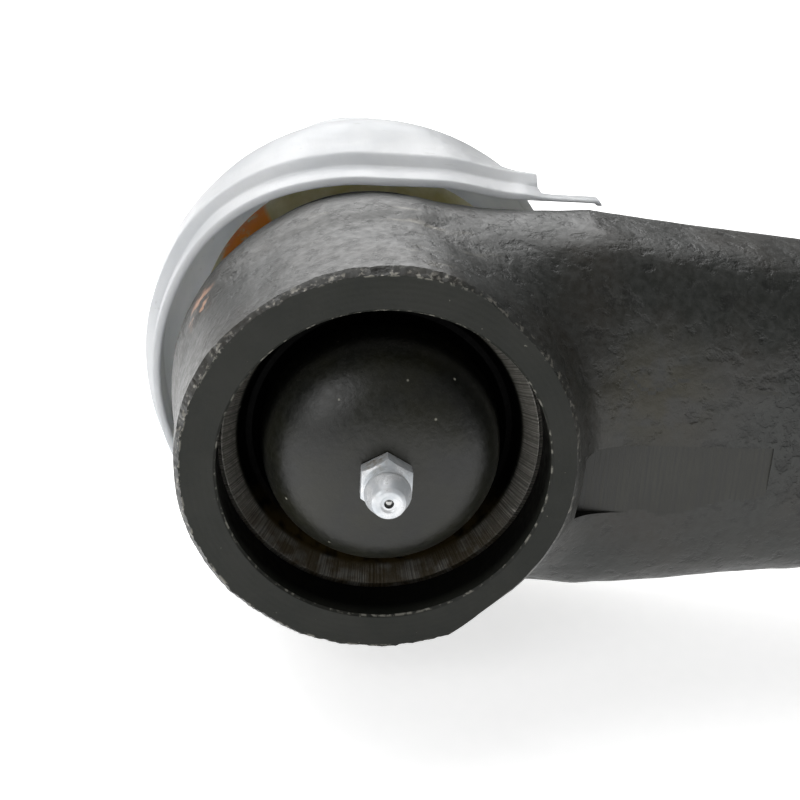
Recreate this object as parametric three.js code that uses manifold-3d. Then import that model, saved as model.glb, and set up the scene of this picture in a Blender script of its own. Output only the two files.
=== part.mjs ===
// A heavy-duty tie rod end: a forged ball socket with a threaded shank, a tapered ball stud
// in a spring-loaded bearing, a greased closure, a dust boot, a castle nut and a transit cap.
// Millimetres. The origin is the ball centre, +X runs along the shank, +Y along the stud.

import * as THREE from 'three';
import { mergeVertices } from 'three/addons/utils/BufferGeometryUtils.js';
import Module from 'manifold-3d';

const wasm = await Module();
wasm.setup();

// ---- driving dimensions ----

const gap = 0.3; // between pieces that touch or run on each other
const fineGap = 0.12; // the same, inside the grease fitting
const tiltEachWay = THREE.MathUtils.degToRad(15); // stud swing about X, and again about Z
const roundSides = 40;
const capSides = 48;

const ballRadius = 19.05;
const bearingWall = 4.05;
const bearingLipAngle = THREE.MathUtils.degToRad(33); // where the stud-side bearing stops
const bearingFootAngle = THREE.MathUtils.degToRad(35); // where the cover-side bearing stops

const faceRingWidth = 5.2; // flat ring round the closure bore
const faceChamfer = 0.7;
const closureStandOff = 8.95; // the ball's pole to the closure face
const closureStep = 0.2; // closure bore over bearing bore, on the radius
const grooveDepth = 1.1;
const socketDraft = 2.2; // the socket's swell from its closure edge to its parting line
const socketBackRound = 26; // the round from the parting line to the stud side
const socketShoulderAngle = THREE.MathUtils.degToRad(30);
const socketLip = 2;
const spigotHeight = 4.5;
const spigotWall = 4.6;

const armHeightAtSocket = 61;
const armHeightAtNeck = 54;
const armThickness = 34;
const armNeckX = 66;
const shankRadius = 19.05;
const shankStartX = 104;
const shankEndX = 184;
const shankChamfer = 2;
const groundFlatDepth = 1; // taken off the closure side of the arm

const coverRimDepth = 8.6; // closure face to the rim's edge
const coverRimDrop = 2.8; // the rim's slope, down to its inner edge
const coverRimWidth = 2.25;
const coverThickness = 2.9;
const coverDomeRadius = 17.2;
const domeSquareness = 2.5;
const coverDomeStand = 2.4; // how far the dome stands proud of the closure face

const seatThickness = 2.2;
const seatEdge = 0.9;
const seatSideClearance = 1; // to the inside of the dome
const seatHoleRadius = 2.6;
const preloadWire = 2.6;
const preloadTurns = 1.9;
const preloadInnerRadius = 5.4;
const preloadSetback = 1.6; // the widest turn stays this far inside the seat's edge

const fittingAcrossFlats = 7.14;
const fittingHexHeight = 2.8;
const fittingThreadRadius = 3.175;
const fittingThreadLength = 4.8;
const fittingNeckRadius = 2.6;
const fittingHeadRadius = 3.3;
const fittingTipRadius = 2.35;
const fittingHeadHeight = 5.3;
const fittingPortRadius = 0.68;
const fittingBoreRadius = 1.35;
const checkBallRadius = 1.05;
const checkSpringWire = 0.3;
const checkSpringLength = 4.2;

const neckRadius = 10.6;
const neckEnd = 29;
const taperStart = 34;
const taperRadius = 15.9;
const taperLength = 38;
const taperPerMm = 1 / 16; // radius lost along the taper
const studThreadRadius = 12.7;
const studThreadLength = 27;

const nutAcrossFlats = 36.5;
const nutBodyHeight = 12.5;
const nutCastleHeight = 6;
const nutCastleRadius = 16.6;
const nutSlotWidth = 5;
const nutSetback = 2.5; // from the end of the taper
const cotterRadius = 1.9;

const bootWall = 2;
const bootBaseHeight = 4;
const bootBulgeRadius = 31;
const bootCollarStart = 37.5;
const bootCollarLength = 6;
const bandThickness = 1;
const bandWidth = 2.4;

const capWall = 1.4;
const capMouthClearance = 2.3; // round the socket at its widest
const capArmClearance = 1;
const capRimY = 6;
const capRimHeight = 6.4;
const capRimStep = 1.8; // the body stands out from the rim by this
const capShoulderY = 28;
const capCrownPlay = 1.2;
const capCrownStartY = 66;
const capSleeveLength = 5;
const capNotchTopY = 36;
const capTabReach = 21; // each flap along the arm, beside the notch

// ---- sizes worked out from those ----

const bearingInner = ballRadius + gap;
const bearingOuter = bearingInner + bearingWall;
const bearingBore = bearingOuter + gap;
const closureBore = bearingBore + closureStep;
const grooveRadius = closureBore + grooveDepth;
const faceRadius = closureBore + faceRingWidth;
const socketRadius = faceRadius + faceChamfer;
const socketGirth = socketRadius + socketDraft;
const closureY = -(ballRadius + closureStandOff);

const tiltMost = Math.acos(Math.cos(tiltEachWay) ** 2);
const neckSweep = (y) => y * Math.tan(tiltMost) + neckRadius / Math.cos(tiltMost) + gap;

const shoulderStartY = bearingInner * Math.sin(socketShoulderAngle);
const sweepAtCentre = neckSweep(0);
const shoulderEndY = (shoulderStartY + bearingBore - sweepAtCentre) / (1 + Math.tan(tiltMost));
const socketFaceY = shoulderEndY + socketLip;
const spigotTopY = socketFaceY + spigotHeight;
const spigotRadius = neckSweep(spigotTopY) + spigotWall;

const coverRimRadius = closureBore - gap - 0.15;
const coverRimY = closureY + coverRimDepth;
const coverInnerRimRadius = coverRimRadius - coverRimWidth;
const coverInnerRimY = coverRimY + coverRimDrop;
const coverTopY = closureY - coverDomeStand;
const coverValleyY = coverInnerRimY + 2.2;
const coverBackY = coverValleyY + coverThickness;
const coverUndercutRadius = grooveRadius - gap;
const coverSeatY = coverBackY - 1.7;
const coverDomeBaseY = coverValleyY - 4;

const seatRadius = coverDomeRadius - coverThickness - seatSideClearance;
const seatReach = seatRadius - seatEdge;
const seatBackY = -bearingInner - seatThickness;
const domeInsideY = coverTopY + coverThickness;
const fittingBaseY = coverTopY - gap;
const fittingHexY = fittingBaseY - fittingHexHeight;
const fittingTipY = fittingHexY - fittingHeadHeight;
const checkBallY = fittingTipY + 0.35 + checkBallRadius + fineGap;

const taperEnd = taperStart + taperLength;
const taperEndRadius = taperRadius - taperLength * taperPerMm;
const studEndY = taperEnd + studThreadLength;
const nutSeatY = taperEnd + nutSetback;
const nutCastleY = nutSeatY + nutBodyHeight;
const nutTopY = nutCastleY + nutCastleHeight;
const nutCornerRadius = nutAcrossFlats / Math.sqrt(3);
const cotterY = nutTopY - nutSlotWidth / 2 - 0.4;
const cotterShank = nutCastleRadius + 2 * gap; // half the length between eye and legs
const cotterEyeRadius = cotterRadius * 1.55;
const cotterReach = cotterShank + cotterRadius * 0.9 + cotterEyeRadius;

const bootBaseInner = spigotRadius + gap;
const bootBaseOuter = bootBaseInner + bootWall;
const bootCollarInner = taperRadius - (bootCollarStart - taperStart) * taperPerMm + gap;
const bootCollarOuter = bootCollarInner + bootWall;

const capRimRadius = socketGirth + capMouthClearance + capWall;
const capBodyRadius = capRimRadius + capRimStep;
const capNotchHalfHeight = armHeightAtSocket / 2 + capArmClearance;
const capCrownInner = Math.max(nutCornerRadius, cotterReach) + capCrownPlay;
const capCrownRadius = capCrownInner + capWall;
const capEndY = studEndY + gap + capWall;
const capSleeveInner = studThreadRadius + gap;

// ---- materials ----

const paint = (color, roughness, metalness) =>
  new THREE.MeshStandardMaterial({ color, roughness, metalness });

const blackForging = paint(0x33342f, 0.55, 0.5);
const blackCover = paint(0x2b2c2b, 0.42, 0.6);
const zincPlate = paint(0xc3c7ca, 0.3, 0.9);
const bareSteel = paint(0x9a9a96, 0.35, 0.95);
const hardenedSteel = paint(0x6f6d68, 0.4, 0.9);
const springSteel = paint(0x55534f, 0.45, 0.9);
const naturalUrethane = paint(0xd8cf9c, 0.5, 0);
const milkyPolythene = paint(0xe9e9e4, 0.45, 0);

// ---- solids ----

// A closed geometry as a solid whose faces point out.
function solidOf(geometry) {
  const plain = new THREE.BufferGeometry();
  plain.setAttribute('position', geometry.getAttribute('position').clone());
  if (geometry.index) plain.setIndex(geometry.index.clone());
  const merged = mergeVertices(plain, 1e-4);
  const position = merged.getAttribute('position');
  const corners = merged.index.array;
  const kept = [];
  let volume = 0;
  const [a, b, c] = [new THREE.Vector3(), new THREE.Vector3(), new THREE.Vector3()];
  for (let i = 0; i < corners.length; i += 3) {
    const [p, q, r] = [corners[i], corners[i + 1], corners[i + 2]];
    if (p === q || q === r || r === p) continue;
    kept.push(p, q, r);
    a.fromBufferAttribute(position, p);
    b.fromBufferAttribute(position, q);
    c.fromBufferAttribute(position, r);
    volume += a.dot(b.cross(c));
  }
  if (volume < 0) kept.reverse();
  return new wasm.Manifold(new wasm.Mesh({
    numProp: 3,
    vertProperties: new Float32Array(position.array),
    triVerts: new Uint32Array(kept),
  }));
}

function geometryOf(solid) {
  const mesh = solid.getMesh();
  const geometry = new THREE.BufferGeometry();
  geometry.setAttribute('position', new THREE.BufferAttribute(mesh.vertProperties, 3));
  geometry.setIndex(new THREE.BufferAttribute(mesh.triVerts, 1));
  geometry.computeVertexNormals();
  return geometry;
}

// A profile of [radius, y] points turned round the stud axis. It closes on itself.
function turned(profile, sides = roundSides) {
  const points = profile.map(([radius, y]) => new THREE.Vector2(Math.max(radius, 0), y));
  points.push(points[0].clone());
  return solidOf(new THREE.LatheGeometry(points, sides));
}

// Points along a circle round (r, y), from one angle to another, in degrees from +r.
function arc(r, y, radius, from, to, steps) {
  const points = [];
  for (let i = 0; i <= steps; i++) {
    const angle = THREE.MathUtils.degToRad(from + ((to - from) * i) / steps);
    points.push([r + radius * Math.cos(angle), y + radius * Math.sin(angle)]);
  }
  return points;
}

function bar(radius, from, to, sides = 24) {
  const axis = new THREE.Vector3().subVectors(to, from);
  const geometry = new THREE.CylinderGeometry(radius, radius, axis.length(), sides);
  const turn = new THREE.Quaternion().setFromUnitVectors(
    new THREE.Vector3(0, 1, 0), axis.clone().normalize());
  geometry.applyQuaternion(turn);
  geometry.translate(...new THREE.Vector3().addVectors(from, to).multiplyScalar(0.5));
  return solidOf(geometry);
}

function block(lowest, highest) {
  const size = highest.map((value, i) => value - lowest[i]);
  const geometry = new THREE.BoxGeometry(...size);
  geometry.translate(...lowest.map((value, i) => value + size[i] / 2));
  return solidOf(geometry);
}

// A hexagonal prism on the stud axis.
function hexagon(acrossFlats, fromY, toY) {
  const geometry = new THREE.CylinderGeometry(
    acrossFlats / Math.sqrt(3), acrossFlats / Math.sqrt(3), toY - fromY, 6);
  geometry.translate(0, (fromY + toY) / 2, 0);
  return solidOf(geometry);
}

// A solid through rings of equally many points.
function loft(rings) {
  const count = rings[0].length;
  const positions = rings.flat().flatMap((point) => point.toArray());
  const index = [];
  for (let ring = 0; ring + 1 < rings.length; ring++) {
    for (let i = 0; i < count; i++) {
      const a = ring * count + i;
      const b = ring * count + ((i + 1) % count);
      index.push(a, b, b + count, a, b + count, a + count);
    }
  }
  for (const [ring, flip] of [[0, true], [rings.length - 1, false]]) {
    const start = ring * count;
    for (let i = 1; i + 1 < count; i++) {
      const fan = [start, start + i, start + i + 1];
      index.push(...(flip ? fan.reverse() : fan));
    }
  }
  const geometry = new THREE.BufferGeometry();
  geometry.setAttribute('position', new THREE.Float32BufferAttribute(positions, 3));
  geometry.setIndex(index);
  return solidOf(geometry);
}

// Round wire wound on the stud axis, from one radius and height to another.
function coil(wire, fromRadius, toRadius, fromY, toY, turns, stepsPerTurn, sides) {
  class Winding extends THREE.Curve {
    getPoint(t, target = new THREE.Vector3()) {
      const angle = t * turns * 2 * Math.PI;
      const radius = fromRadius + (toRadius - fromRadius) * t;
      return target.set(
        radius * Math.cos(angle), fromY + (toY - fromY) * t, radius * Math.sin(angle));
    }
  }
  const section = new THREE.Shape();
  section.absarc(0, 0, wire / 2, 0, 2 * Math.PI);
  const geometry = new THREE.ExtrudeGeometry(section, {
    steps: Math.round(turns * stepsPerTurn),
    curveSegments: sides,
    extrudePath: new Winding(),
  });
  return solidOf(geometry);
}

// ---- pieces ----

// The arm's outline is a rounded rectangle near the socket and a circle at the shank.
function armRing(x, halfThickness, halfHeight, squareness) {
  const points = [];
  const count = 40;
  for (let i = 0; i < count; i++) {
    const angle = (2 * Math.PI * i) / count;
    const [c, s] = [Math.cos(angle), Math.sin(angle)];
    points.push(new THREE.Vector3(
      x,
      halfThickness * Math.sign(c) * Math.abs(c) ** (2 / squareness),
      halfHeight * Math.sign(s) * Math.abs(s) ** (2 / squareness)));
  }
  return points;
}

function forgedArm() {
  const nearX = 4;
  const socketX = 31;
  const half = armThickness / 2;
  const rings = [
    armRing(nearX, half, armHeightAtSocket / 2, 3),
    armRing(socketX, half, armHeightAtSocket / 2, 3),
    armRing(armNeckX, half, armHeightAtNeck / 2, 2.8),
  ];
  const blendSteps = 8;
  for (let i = 1; i <= blendSteps; i++) {
    const t = i / blendSteps;
    const ease = t * t * (3 - 2 * t);
    rings.push(armRing(
      THREE.MathUtils.lerp(armNeckX, shankStartX - 4, t),
      THREE.MathUtils.lerp(half, shankRadius, ease),
      THREE.MathUtils.lerp(armHeightAtNeck / 2, shankRadius, ease),
      THREE.MathUtils.lerp(2.8, 2, ease)));
  }
  rings.push(armRing(shankEndX - shankChamfer, shankRadius, shankRadius, 2));
  rings.push(armRing(shankEndX, shankRadius - shankChamfer, shankRadius - shankChamfer, 2));
  return loft(rings);
}

function socketForging() {
  const backAngle = THREE.MathUtils.radToDeg(Math.asin(socketFaceY / socketBackRound));
  const outside = turned([
    [0, closureY],
    [faceRadius, closureY],
    [socketRadius, closureY + faceChamfer],
    ...arc(socketGirth - socketBackRound, 0, socketBackRound, 0, backAngle, 6),
    [spigotRadius, socketFaceY],
    [spigotRadius, spigotTopY - 0.6],
    [spigotRadius - 0.6, spigotTopY],
    [0, spigotTopY],
  ]);
  const cavity = turned([
    [0, closureY - 1],
    [closureBore, closureY - 1],
    [closureBore, coverRimY - 0.2],
    [grooveRadius, coverRimY - 0.2],
    [grooveRadius, coverSeatY + gap],
    [bearingBore, coverSeatY + gap],
    [bearingBore, shoulderStartY],
    [neckSweep(shoulderEndY), shoulderEndY],
    [neckSweep(spigotTopY + 1), spigotTopY + 1],
    [0, spigotTopY + 1],
  ]);
  const flat = block(
    [socketRadius - 2, -armThickness, -11],
    [armNeckX + 14, -armThickness / 2 + groundFlatDepth, 5]);
  const bootSeat = turned([
    [spigotRadius, socketFaceY],
    [bootBulgeRadius + 1, socketFaceY],
    [bootBulgeRadius + 1, socketFaceY + armThickness],
    [spigotRadius, socketFaceY + armThickness],
  ]);
  const arm = forgedArm().subtract(flat).subtract(bootSeat);
  return outside.add(arm).subtract(cavity);
}

// A quarter of a rounded square, from the dome's side to its top.
function domeProfile(radius, baseY, topY, steps) {
  const points = [];
  for (let i = 0; i <= steps; i++) {
    const angle = (Math.PI / 2) * (i / steps);
    points.push([
      radius * Math.cos(angle) ** (2 / domeSquareness),
      baseY + (topY - baseY) * Math.sin(angle) ** (2 / domeSquareness),
    ]);
  }
  return points;
}

// How high the inside of the dome is over a point at this radius.
function domeInsideAt(radius) {
  const share = radius / (coverDomeRadius - coverThickness);
  const rise = (1 - share ** domeSquareness) ** (1 / domeSquareness);
  return coverDomeBaseY + (domeInsideY - coverDomeBaseY) * rise;
}

// The radius at which a plane across the stud axis clears the ball.
function ballClearAt(y) {
  return Math.sqrt(Math.max((ballRadius + 2 * gap) ** 2 - y ** 2, 0));
}

function closureCover() {
  const innerRadius = coverDomeRadius - coverThickness;
  const top = domeProfile(coverDomeRadius, coverDomeBaseY, coverTopY, 6);
  const inside = domeProfile(innerRadius, coverDomeBaseY, domeInsideY, 5);
  const plate = turned([
    ...top.reverse(),
    [coverDomeRadius + 0.7, coverValleyY - 1.2],
    [coverDomeRadius + 2.1, coverValleyY],
    [coverInnerRimRadius - 0.9, coverValleyY - 0.5],
    [coverInnerRimRadius, coverInnerRimY],
    [coverRimRadius, coverRimY],
    [coverUndercutRadius, coverRimY + 0.9],
    [coverUndercutRadius, coverSeatY],
    [bearingBore - gap, coverSeatY],
    [bearingBore - 1.5, coverBackY],
    [Math.max(coverDomeRadius + 0.6, ballClearAt(coverBackY)), coverBackY],
    [innerRadius + 0.5, coverDomeBaseY + 2.6],
    ...inside,
  ]);
  const hole = bar(fittingThreadRadius + gap,
    new THREE.Vector3(0, coverTopY - 2, 0), new THREE.Vector3(0, domeInsideY + 2, 0));
  return plate.subtract(hole);
}

function bearingHalf(angle, sign, outerProfile) {
  const steps = 7;
  const inner = [];
  for (let i = 0; i <= steps; i++) {
    const a = Math.asin(gap / 2 / bearingInner) * (1 - i / steps) + (angle * i) / steps;
    inner.push([bearingInner * Math.cos(a), sign * bearingInner * Math.sin(a)]);
  }
  return turned([...inner, ...outerProfile, [bearingOuter, (sign * gap) / 2]]);
}

function studSideBearing() {
  const slack = gap * Math.SQRT2;
  const topY = shoulderEndY - 1;
  return bearingHalf(bearingLipAngle, 1, [
    [neckSweep(topY) + 0.2, topY],
    [bearingBore - slack - (topY - shoulderStartY), topY],
    [bearingOuter, shoulderStartY + bearingBore - slack - bearingOuter],
  ]);
}

function coverSideBearing() {
  return bearingHalf(bearingFootAngle, -1, [
    [bearingOuter, -Math.min(bearingInner * Math.sin(bearingFootAngle), -coverBackY - gap)],
  ]);
}

// The cup that the preload spring holds on the ball.
function pressureSeat() {
  const inside = [];
  const reach = Math.asin(seatReach / bearingInner);
  const near = Math.asin(seatHoleRadius / bearingInner);
  const steps = 7;
  for (let i = 0; i <= steps; i++) {
    const a = near + ((reach - near) * i) / steps;
    inside.push([bearingInner * Math.sin(a), -bearingInner * Math.cos(a)]);
  }
  const edgeY = -bearingInner * Math.cos(reach);
  return turned([
    ...inside,
    [seatRadius, edgeY - 0.6],
    [seatRadius, seatBackY + 1],
    [seatRadius - 1, seatBackY],
    [seatHoleRadius, seatBackY],
  ]);
}

function preloadSpring() {
  return coil(preloadWire, seatReach - preloadSetback - preloadWire / 2, preloadInnerRadius,
    seatBackY - gap - preloadWire / 2,
    domeInsideAt(preloadInnerRadius + preloadWire / 2) + 1.5 * gap + preloadWire / 2,
    preloadTurns, 16, 4);
}

function fittingBody() {
  const hex = hexagon(fittingAcrossFlats, fittingHexY, fittingBaseY);
  const threadEndY = fittingBaseY + fittingThreadLength;
  const turnedPart = turned([
    [0, threadEndY],
    [fittingThreadRadius - 0.5, threadEndY],
    [fittingThreadRadius, threadEndY - 0.5],
    [fittingThreadRadius, fittingBaseY - 1],
    [fittingNeckRadius, fittingHexY],
    [fittingNeckRadius, fittingHexY - 0.6],
    [fittingHeadRadius, fittingHexY - 1.7],
    [fittingHeadRadius, fittingHexY - 2.3],
    [fittingTipRadius, fittingTipY],
    [0, fittingTipY],
  ], 24);
  const bore = turned([
    [0, fittingTipY - 1],
    [fittingPortRadius, fittingTipY - 1],
    [fittingPortRadius, fittingTipY + 0.35],
    [fittingBoreRadius, fittingTipY + 1],
    [fittingBoreRadius, threadEndY - 1.2],
    [fittingBoreRadius - 0.5, threadEndY - 1.2],
    [fittingBoreRadius - 0.5, threadEndY + 1],
    [0, threadEndY + 1],
  ], 16);
  return hex.add(turnedPart).subtract(bore);
}

function checkBall() {
  const ball = new THREE.SphereGeometry(checkBallRadius, 14, 8);
  ball.translate(0, checkBallY, 0);
  return solidOf(ball);
}

function checkSpring() {
  const fromY = checkBallY + checkBallRadius + fineGap + checkSpringWire / 2;
  return coil(checkSpringWire, fittingBoreRadius - fineGap - checkSpringWire / 2 - 0.15,
    fittingBoreRadius - fineGap - checkSpringWire / 2 - 0.15, fromY,
    fromY + checkSpringLength, 4, 10, 3);
}

function ballStud() {
  const neckAngle = Math.asin(neckRadius / ballRadius);
  const ballArc = [];
  const steps = 14;
  for (let i = 1; i <= steps; i++) {
    const a = ((Math.PI - neckAngle) * i) / steps;
    ballArc.push([ballRadius * Math.sin(a), -ballRadius * Math.cos(a)]);
  }
  const body = turned([
    [0, -ballRadius],
    ...ballArc,
    [neckRadius, neckEnd],
    ...arc(neckRadius + 2, neckEnd, 2, 180, 150, 2).slice(1),
    [taperRadius - 0.4, taperStart - 0.6],
    [taperRadius, taperStart],
    [taperEndRadius, taperEnd],
    [studThreadRadius, taperEnd + 0.6],
    [studThreadRadius, studEndY - 1.5],
    [studThreadRadius - 1.5, studEndY],
    [0, studEndY],
  ]);
  const cotterHole = bar(cotterRadius + gap,
    new THREE.Vector3(0, cotterY, -2 * studThreadRadius),
    new THREE.Vector3(0, cotterY, 2 * studThreadRadius), 16);
  return body.subtract(cotterHole);
}

function castleNut() {
  const corner = nutCornerRadius;
  const inscribed = nutAcrossFlats / 2;
  const washerFace = turned([
    [0, nutSeatY],
    [inscribed - 0.8, nutSeatY],
    [corner + 0.2, nutSeatY + (corner - inscribed) * 0.6],
    [corner + 0.2, nutCastleY - (corner - inscribed) * 0.6],
    [inscribed - 0.8, nutCastleY],
    [nutCastleRadius, nutCastleY],
    [nutCastleRadius, nutTopY - 0.8],
    [nutCastleRadius - 0.8, nutTopY],
    [0, nutTopY],
  ]);
  const hex = hexagon(nutAcrossFlats, nutSeatY - 1, nutCastleY);
  const castle = hexagon(4 * nutAcrossFlats, nutCastleY, nutTopY + 1);
  let nut = washerFace.intersect(hex.add(castle));
  const hole = bar(studThreadRadius + gap,
    new THREE.Vector3(0, nutSeatY - 2, 0), new THREE.Vector3(0, nutTopY + 2, 0), roundSides);
  nut = nut.subtract(hole);
  for (const quarter of [0, 1, 2]) {
    const slot = block(
      [-nutSlotWidth / 2, cotterY - nutSlotWidth / 2, -2 * nutCastleRadius],
      [nutSlotWidth / 2, nutTopY + 1, 2 * nutCastleRadius]);
    nut = nut.subtract(slot.rotate([0, 60 * quarter, 0]));
  }
  return nut;
}

// Two legs of half-round wire as one pin, an eye on one side and spread ends on the other.
function cotterPin() {
  const reach = cotterShank;
  const eye = new THREE.TorusGeometry(cotterRadius, cotterEyeRadius - cotterRadius, 8, 16);
  eye.rotateY(Math.PI / 2);
  eye.translate(0, cotterY, reach + cotterRadius * 0.9);
  let pin = bar(cotterRadius,
    new THREE.Vector3(0, cotterY, -reach), new THREE.Vector3(0, cotterY, reach), 12);
  pin = pin.add(solidOf(eye));
  for (const side of [-1, 1]) {
    const leg = bar(cotterRadius * 0.62,
      new THREE.Vector3(side * 0.6, cotterY, -reach - 0.1),
      new THREE.Vector3(side * 4.2, cotterY, -reach - 2.2), 8);
    pin = pin.add(leg);
  }
  return pin;
}

function dustBoot() {
  const baseY = socketFaceY + gap;
  const collarEndY = bootCollarStart + bootCollarLength;
  const outer = [
    [bootBaseOuter, baseY],
    [bootBaseOuter, baseY + bootBaseHeight],
    [bootBulgeRadius - 0.6, spigotTopY + 2.4],
    [bootBulgeRadius, spigotTopY + 4.4],
    [bootBulgeRadius - 1.2, spigotTopY + 7.4],
    [bootCollarOuter + 5, bootCollarStart - 3.4],
    [bootCollarOuter, bootCollarStart],
    [bootCollarOuter, collarEndY],
  ];
  const inner = [
    [bootCollarInner, collarEndY],
    [bootCollarInner, bootCollarStart - 1],
    [bootCollarInner + 4.4, bootCollarStart - 5.2],
    [bootBulgeRadius - 3.2, spigotTopY + 6.6],
    [bootBulgeRadius - bootWall, spigotTopY + 4.2],
    [bootBulgeRadius - bootWall - 0.8, spigotTopY + 2.2],
    [bootBaseInner, spigotTopY + gap],
    [bootBaseInner, baseY],
  ];
  return turned([...outer, ...inner]);
}

function band(innerRadius, middleY) {
  return turned([
    [innerRadius, middleY - bandWidth / 2],
    [innerRadius + bandThickness, middleY - bandWidth / 2 + 0.3],
    [innerRadius + bandThickness, middleY + bandWidth / 2 - 0.3],
    [innerRadius, middleY + bandWidth / 2],
  ]);
}

function transitCap() {
  const bell = (offset) => [
    [capBodyRadius - offset, capShoulderY],
    [capBodyRadius - offset - 2, capShoulderY + 10],
    [capBodyRadius - offset - 5.4, capShoulderY + 20],
    [capCrownRadius - offset + 3.6, capCrownStartY - 8],
    [capCrownRadius - offset, capCrownStartY],
  ];
  const outside = [
    [capRimRadius, capRimY],
    [capRimRadius, capRimY + capRimHeight],
    [capBodyRadius, capRimY + capRimHeight + 0.8],
    ...bell(0),
    [capCrownRadius, capEndY - 5],
    [capCrownRadius - 2, capEndY - 1.4],
    [capCrownRadius - 5, capEndY],
    [0, capEndY],
  ];
  const inside = [
    [0, capEndY - capWall],
    [capSleeveInner, capEndY - capWall],
    [capSleeveInner, studEndY - capSleeveLength],
    [capSleeveInner + capWall, studEndY - capSleeveLength],
    [capSleeveInner + capWall, capEndY - capWall],
    [capCrownRadius - 5, capEndY - capWall],
    [capCrownInner, capEndY - 5],
    ...bell(capWall).reverse(),
    [capBodyRadius - capWall, capRimY + capRimHeight + 0.8 + capWall],
    [capRimRadius - capWall, capRimY + capRimHeight + capWall],
    [capRimRadius - capWall, capRimY],
  ];
  const shell = turned([...outside, ...inside], capSides);
  const notch = block(
    [4, capRimY - 1, -capNotchHalfHeight],
    [capBodyRadius + 1, capNotchTopY, capNotchHalfHeight]);
  let cap = shell.subtract(notch);
  const tabStartX = Math.sqrt(capRimRadius ** 2 - capNotchHalfHeight ** 2) - 2.4;
  for (const side of [-1, 1]) {
    const z = [side * capNotchHalfHeight, side * (capNotchHalfHeight + capWall)];
    cap = cap.add(block(
      [tabStartX, capRimY, Math.min(...z)],
      [tabStartX + capTabReach, capRimY + capRimHeight, Math.max(...z)]));
  }
  return cap;
}

// ---- the assembly ----

const assembly = new THREE.Group();

function place(name, solid, material) {
  const mesh = new THREE.Mesh(geometryOf(solid), material);
  mesh.name = name;
  assembly.add(mesh);
}

place('socket_forging', socketForging(), blackForging);
place('closure_cover', closureCover(), blackCover);
place('bearing_cover_side', coverSideBearing(), hardenedSteel);
place('bearing_stud_side', studSideBearing(), hardenedSteel);
place('pressure_seat', pressureSeat(), hardenedSteel);
place('preload_spring', preloadSpring(), springSteel);
place('fitting_body', fittingBody(), zincPlate);
place('fitting_check_ball', checkBall(), bareSteel);
place('fitting_spring', checkSpring(), springSteel);
place('ball_stud', ballStud(), bareSteel);
place('castle_nut', castleNut(), zincPlate);
place('cotter_pin', cotterPin(), zincPlate);
place('dust_boot', dustBoot(), naturalUrethane);
place('boot_base_band', band(bootBaseOuter + gap, socketFaceY + gap + bootBaseHeight / 2), springSteel);
place('boot_collar_band', band(bootCollarOuter + gap, bootCollarStart + bootCollarLength / 2), springSteel);
place('transit_cap', transitCap(), milkyPolythene);

export default assembly;
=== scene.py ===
import math

import bmesh
import bpy
import numpy as np
from mathutils import Matrix, Vector, noise


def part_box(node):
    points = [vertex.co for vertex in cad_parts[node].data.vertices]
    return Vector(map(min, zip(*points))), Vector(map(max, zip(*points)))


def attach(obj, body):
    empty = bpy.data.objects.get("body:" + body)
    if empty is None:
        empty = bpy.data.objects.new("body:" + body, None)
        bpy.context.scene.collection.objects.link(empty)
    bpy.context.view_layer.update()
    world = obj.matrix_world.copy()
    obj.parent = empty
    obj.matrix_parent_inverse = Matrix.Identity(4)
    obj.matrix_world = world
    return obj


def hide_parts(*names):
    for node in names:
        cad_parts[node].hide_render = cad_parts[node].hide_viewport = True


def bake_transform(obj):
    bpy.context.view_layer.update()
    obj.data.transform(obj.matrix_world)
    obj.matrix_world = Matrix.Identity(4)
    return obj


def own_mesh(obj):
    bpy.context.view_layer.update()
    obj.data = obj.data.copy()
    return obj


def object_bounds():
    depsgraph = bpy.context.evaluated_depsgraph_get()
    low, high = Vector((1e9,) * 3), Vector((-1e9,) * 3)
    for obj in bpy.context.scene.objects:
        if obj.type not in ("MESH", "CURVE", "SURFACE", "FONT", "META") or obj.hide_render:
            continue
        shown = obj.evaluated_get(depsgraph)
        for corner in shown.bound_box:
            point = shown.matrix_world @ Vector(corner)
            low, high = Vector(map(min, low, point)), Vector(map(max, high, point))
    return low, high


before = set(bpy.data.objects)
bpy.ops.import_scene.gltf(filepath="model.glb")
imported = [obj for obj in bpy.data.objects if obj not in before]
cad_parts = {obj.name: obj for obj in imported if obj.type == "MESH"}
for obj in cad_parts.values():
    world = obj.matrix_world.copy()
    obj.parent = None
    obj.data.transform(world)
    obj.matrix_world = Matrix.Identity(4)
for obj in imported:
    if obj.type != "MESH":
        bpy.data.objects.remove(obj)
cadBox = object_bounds()
print("frame loaded,", len(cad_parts), "nodes")

mm = 0.001
fullTurn = 2 * math.pi


def newPiece(name, points, faces):
    mesh = bpy.data.meshes.new(name)
    mesh.from_pydata([[c * mm for c in p] for p in points], [], [list(f) for f in faces])
    mesh.validate()
    piece = bpy.data.objects.new(name, mesh)
    bpy.context.scene.collection.objects.link(piece)
    return piece


def applied(piece):
    # bakes the modifiers into the mesh
    graph = bpy.context.evaluated_depsgraph_get()
    mesh = bpy.data.meshes.new_from_object(piece.evaluated_get(graph))
    mesh.name = piece.name
    piece.modifiers.clear()
    piece.data = mesh
    return piece


def combine(piece, other, operation="DIFFERENCE"):
    step = piece.modifiers.new("combine", "BOOLEAN")
    step.operation = operation
    step.solver = "MANIFOLD"
    step.object = other
    applied(piece)
    bpy.data.objects.remove(other)
    return piece


def softEdges(piece, width, angle=35):
    # a small rolled edge that catches the light
    step = piece.modifiers.new("edge", "BEVEL")
    step.width = width * mm
    step.segments = 2
    step.limit_method = "ANGLE"
    step.angle_limit = math.radians(angle)
    return applied(piece)


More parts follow.
